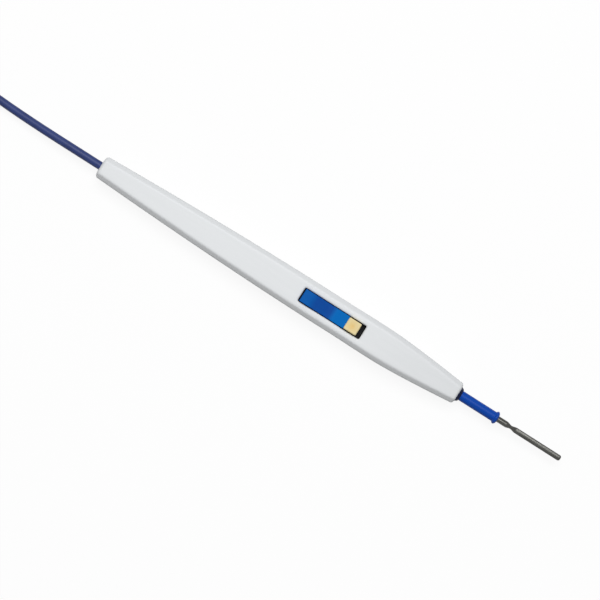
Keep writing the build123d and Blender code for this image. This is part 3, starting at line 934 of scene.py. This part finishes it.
shown(cap_form, "rocker_button", cap_material, "cap_yellow", "rocker", "rocker_cap")


# Nose bushing: a ring of black nylon with a flange, caught between the half shells. Its tapered
# lip closes the nose and guides the electrode's sleeve, and its hexagon keeps that from turning.
bushing_edge = 0.0003
bushing_black = "#070E2A"
bushing_worn = "#0E1A40"
bushing_cloud = 0.0012

# Moulded nylon: blue-black, faintly mottled, with a low sheen and rounded edges
bushing_material, tree, place = new_material("moulded nylon, black")
cloud = add(tree, "TexNoise", {"Vector": place, "Scale": 1 / bushing_cloud, "Detail": 3.0})
shade = add(
    tree,
    "Mix",
    {0: cloud.outputs["Fac"], 6: linear(bushing_black), 7: linear(bushing_worn)},
    data_type="RGBA",
)
gloss = add(tree, "MapRange", {"Value": cloud.outputs["Fac"], "To Min": 0.4, "To Max": 0.55})
rounded = add(tree, "Bevel", {"Radius": bushing_edge}, samples=edge_samples)
shader = add(
    tree,
    "BsdfPrincipled",
    {
        "Base Color": shade.outputs[2],
        "Roughness": gloss.outputs["Result"],
        "Normal": rounded.outputs["Normal"],
        "Specular IOR Level": 0.15,
    },
)
add(tree, "OutputMaterial", {"Surface": shader.outputs[0]})
dress(bushing_material, "nose_bushing")


# Electrode's sleeve: blue polypropylene, moulded round the shank. Its hexagonal root fits the
# bushing, and its collar is what the fingers pull on when the electrode is changed.
sleeve_radius = 0.00195
sleeve_bore = 0.0012
sleeve_sides = 48
collar_radius = 0.0025
collar_length = 0.0015
collar_slope = 0.0005
collar_ease = 0.0002
hex_half_width = 0.0017
hex_length = 0.006
hex_clearance = 0.00002
sleeve_blue = "#0E50B4"
sleeve_deep = "#123F9E"
sleeve_drag = (0.008, 0.0004, 0.0004)
sleeve_drag_depth = 0.00002

sleeve_low, sleeve_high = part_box("electrode_sleeve")
sleeve_height = (sleeve_low.z + sleeve_high.z) / 2
hex_front = sleeve_low.x + hex_length
collar_rear = sleeve_high.x - collar_length
sleeve_outline = [
    (sleeve_low.x, sleeve_bore),
    (sleeve_low.x, hex_half_width),
    (hex_front, hex_half_width),
    (hex_front, sleeve_radius),
    (collar_rear, sleeve_radius),
    (collar_rear + collar_slope, collar_radius),
    (sleeve_high.x - collar_slope, collar_radius),
    (sleeve_high.x, sleeve_radius),
    (sleeve_high.x, sleeve_bore),
]
sleeve_form = bmesh.new()
outline = [sleeve_form.verts.new((x, 0, sleeve_height + radius)) for x, radius in sleeve_outline]
outline += [sleeve_form.edges.new(ends) for ends in zip(outline, outline[1:] + outline[:1])]
bmesh.ops.spin(
    sleeve_form,
    geom=outline,
    cent=(0, 0, sleeve_height),
    axis=(1, 0, 0),
    angle=2 * pi,
    steps=sleeve_sides,
    use_merge=True,
    use_duplicate=False,
)
collar_rims = []
for edge in sleeve_form.edges:
    near, far = (vert.co - Vector((0, 0, sleeve_height)) for vert in edge.verts)
    along_rim = abs(near.x - far.x) < same_place and near.x > collar_rear - same_place
    if along_rim and near.yz.length > sleeve_radius - same_place:
        collar_rims.append(edge)
eased(sleeve_form, collar_rims, collar_ease)
for vert in sleeve_form.verts:
    arm = vert.co.yz - Vector((0, sleeve_height))
    on_root = vert.co.x < hex_front + same_place
    if on_root and abs(arm.length - hex_half_width) < same_place:
        from_flat = atan2(arm.y, arm.x) % (pi / 3) - pi / 6
        reach = min(hex_half_width / cos(from_flat), sleeve_radius - hex_clearance)
        arm *= reach / arm.length
        vert.co.yz = (arm.x, arm.y + sleeve_height)

# Moulded polypropylene: a clear blue with the faint drag lines of its mould along it
sleeve_material, tree, place = new_material("moulded polypropylene, blue")
drawn = add(tree, "Mapping", {"Vector": place, "Scale": [1 / s for s in sleeve_drag]})
drag = add(tree, "TexNoise", {"Vector": drawn.outputs["Vector"], "Scale": 1.0, "Detail": 2.0})
shade = add(
    tree,
    "Mix",
    {0: drag.outputs["Fac"], 6: linear(sleeve_deep), 7: linear(sleeve_blue)},
    data_type="RGBA",
)
gloss = add(tree, "MapRange", {"Value": drag.outputs["Fac"], "To Min": 0.28, "To Max": 0.42})
relief = add(
    tree,
    "Bump",
    {"Height": drag.outputs["Fac"], "Strength": 0.3, "Distance": sleeve_drag_depth},
)
shader = add(
    tree,
    "BsdfPrincipled",
    {
        "Base Color": shade.outputs[2],
        "Roughness": gloss.outputs["Result"],
        "Normal": relief.outputs["Normal"],
        "Specular IOR Level": 0.1,
    },
)
add(tree, "OutputMaterial", {"Surface": shader.outputs[0]})
shown(
    sleeve_form,
    "electrode_grip",
    sleeve_material,
    "sleeve_blue",
    "electrode",
    "electrode_sleeve",
)


# Electrode: one length of stainless steel wire, pinched at its neck and pressed flat to a blade
# with crowned faces and a rounded tip, then ground and brushed along its length.
shank_radius = 0.00118
shank_sides = 32
waist_x = 0.0796
waist_half_width = 0.00068
waist_half_height = 0.00074
blade_x = 0.0819
blade_half_width = 0.0011
blade_half_thickness = 0.00025
blade_corner = 0.00075
blade_tip_thinning = 0.5
neck_x = 0.0775
neck_steps = 6
corner_steps = 6
steel_bright = "#62625F"
steel_dark = "#3F3F3C"
steel_brush = (0.012, 0.00012, 0.00012)
steel_brush_depth = 0.00001

steel_low, steel_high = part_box("electrode_blade")
shank_height = (steel_low.z + steel_high.z) / 2
steel_keys = [
    (neck_x, shank_radius, shank_radius),
    (waist_x, waist_half_width, waist_half_height),
    (blade_x, blade_half_width, blade_half_thickness),
]
steel_rings = [steel_keys[0]]
for start, end in zip(steel_keys, steel_keys[1:]):
    for step in range(1, neck_steps + 1):
        share = step / neck_steps
        easing = share * share * (3 - 2 * share)
        shares = (share, easing, easing)
        steel_rings.append([a + (b - a) * part for a, b, part in zip(start, end, shares)])
corner_x = steel_high.x - blade_corner
for step in range(corner_steps + 1):
    turn = pi / 2 * step / corner_steps
    steel_rings.append(
        (
            corner_x + blade_corner * sin(turn),
            blade_half_width - blade_corner * (1 - cos(turn)),
            blade_half_thickness * (1 - blade_tip_thinning * (1 - cos(turn))),
        )
    )
steel_form = bmesh.new()
shank_end = bmesh.ops.create_circle(
    steel_form,
    cap_ends=True,
    segments=shank_sides,
    radius=shank_radius,
    matrix=Matrix.Translation((steel_low.x, 0, shank_height)) @ Matrix.Rotation(pi / 2, 4, "Y"),
)["verts"]
steel_face = shank_end[0].link_faces[0]
steel_x, steel_width, steel_depth = steel_low.x, shank_radius, shank_radius
for ring_x, ring_width, ring_depth in steel_rings:
    grown = bmesh.ops.extrude_face_region(steel_form, geom=[steel_face])["geom"]
    # An extruded face stays behind: the first one closes the shank's rear end, and the others go
    if steel_x > steel_low.x:
        bmesh.ops.delete(steel_form, geom=[steel_face], context="FACES_ONLY")
    steel_face = next(part for part in grown if isinstance(part, bmesh.types.BMFace))
    ring = steel_face.verts[:]
    bmesh.ops.translate(steel_form, verts=ring, vec=(ring_x - steel_x, 0, 0))
    bmesh.ops.scale(
        steel_form,
        verts=ring,
        vec=(1, ring_width / steel_width, ring_depth / steel_depth),
        space=Matrix.Translation((0, 0, -shank_height)),
    )
    steel_x, steel_width, steel_depth = ring_x, ring_width, ring_depth

# Brushed stainless steel: the strokes run along the blade. They are drawn coarser than they are,
# and its tone is the dark one that bare steel shows under a soft lamp
blade_material, tree, place = new_material("brushed stainless steel")
brushed = add(tree, "Mapping", {"Vector": place, "Scale": [1 / s for s in steel_brush]})
strokes = add(tree, "TexNoise", {"Vector": brushed.outputs["Vector"], "Scale": 1.0, "Detail": 2.0})
glints = add(tree, "MapRange", {"Value": strokes.outputs["Fac"], "From Min": 0.3, "From Max": 0.7})
shade = add(
    tree,
    "Mix",
    {0: glints.outputs["Result"], 6: linear(steel_dark), 7: linear(steel_bright)},
    data_type="RGBA",
)
gloss = add(tree, "MapRange", {"Value": strokes.outputs["Fac"], "To Min": 0.18, "To Max": 0.28})
relief = add(
    tree,
    "Bump",
    {"Height": strokes.outputs["Fac"], "Strength": 0.1, "Distance": steel_brush_depth},
)
shader = add(
    tree,
    "BsdfPrincipled",
    {
        "Base Color": shade.outputs[2],
        "Roughness": gloss.outputs["Result"],
        "Normal": relief.outputs["Normal"],
        "Metallic": 1.0,
    },
)
add(tree, "OutputMaterial", {"Surface": shader.outputs[0]})
shown(
    steel_form,
    "electrode_steel",
    blade_material,
    "electrode_steel",
    "electrode",
    "electrode_blade",
)


# Plug: a flat block of blue PVC, moulded in one piece with its grooved strain relief round the
# cable's end and the pins' roots. Finger grooves cross its two flat sides.
plug_edge = 0.0004
plug_light = "#2A468F"
plug_dark = "#20387A"
plug_cloud = 0.006
plug_grain = 0.00045
plug_grain_depth = 0.00003

# Moulded PVC: matt mid blue with an eroded grain that is coarser than the handle's, and soft edges
plug_material, tree, place = new_material("moulded PVC, blue")
cloud = add(tree, "TexNoise", {"Vector": place, "Scale": 1 / plug_cloud, "Detail": 3.0})
shade = add(
    tree,
    "Mix",
    {0: cloud.outputs["Fac"], 6: linear(plug_dark), 7: linear(plug_light)},
    data_type="RGBA",
)
gloss = add(tree, "MapRange", {"Value": cloud.outputs["Fac"], "To Min": 0.5, "To Max": 0.64})
rounded = add(tree, "Bevel", {"Radius": plug_edge}, samples=edge_samples)
grain = add(tree, "TexVoronoi", {"Vector": place, "Scale": 1 / plug_grain})
relief = add(
    tree,
    "Bump",
    {
        "Height": grain.outputs["Distance"],
        "Strength": 0.4,
        "Distance": plug_grain_depth,
        "Normal": rounded.outputs["Normal"],
    },
)
shader = add(
    tree,
    "BsdfPrincipled",
    {
        "Base Color": shade.outputs[2],
        "Roughness": gloss.outputs["Result"],
        "Normal": relief.outputs["Normal"],
        "Specular IOR Level": 0.3,
    },
)
add(tree, "OutputMaterial", {"Surface": shader.outputs[0]})
dress(plug_material, "plug_body", "plug_boot")


# Pins: three round brass pins for the generator's jacks, turned from bar and plated with nickel.
# The plug is moulded round their roots, and a flange on each lies on its face.
nickel_bright = "#D2CFC6"
nickel_dull = "#C4C1B7"
nickel_tool_mark = (0.00015, 0.02, 0.02)
nickel_tool_depth = 0.00001

# Nickel plate: a warm silver, and under it the faint rings that the turning left
pin_material, tree, place = new_material("nickel-plated brass")
turned = add(tree, "Mapping", {"Vector": place, "Scale": [1 / s for s in nickel_tool_mark]})
rings = add(tree, "TexNoise", {"Vector": turned.outputs["Vector"], "Scale": 1.0, "Detail": 2.0})
shade = add(
    tree,
    "Mix",
    {0: rings.outputs["Fac"], 6: linear(nickel_dull), 7: linear(nickel_bright)},
    data_type="RGBA",
)
gloss = add(tree, "MapRange", {"Value": rings.outputs["Fac"], "To Min": 0.16, "To Max": 0.24})
relief = add(
    tree,
    "Bump",
    {"Height": rings.outputs["Fac"], "Strength": 0.1, "Distance": nickel_tool_depth},
)
shader = add(
    tree,
    "BsdfPrincipled",
    {
        "Base Color": shade.outputs[2],
        "Roughness": gloss.outputs["Result"],
        "Normal": relief.outputs["Normal"],
        "Metallic": 1.0,
    },
)
add(tree, "OutputMaterial", {"Surface": shader.outputs[0]})
dress(pin_material, "plug_pin_active", "plug_pin_cut", "plug_pin_coag")
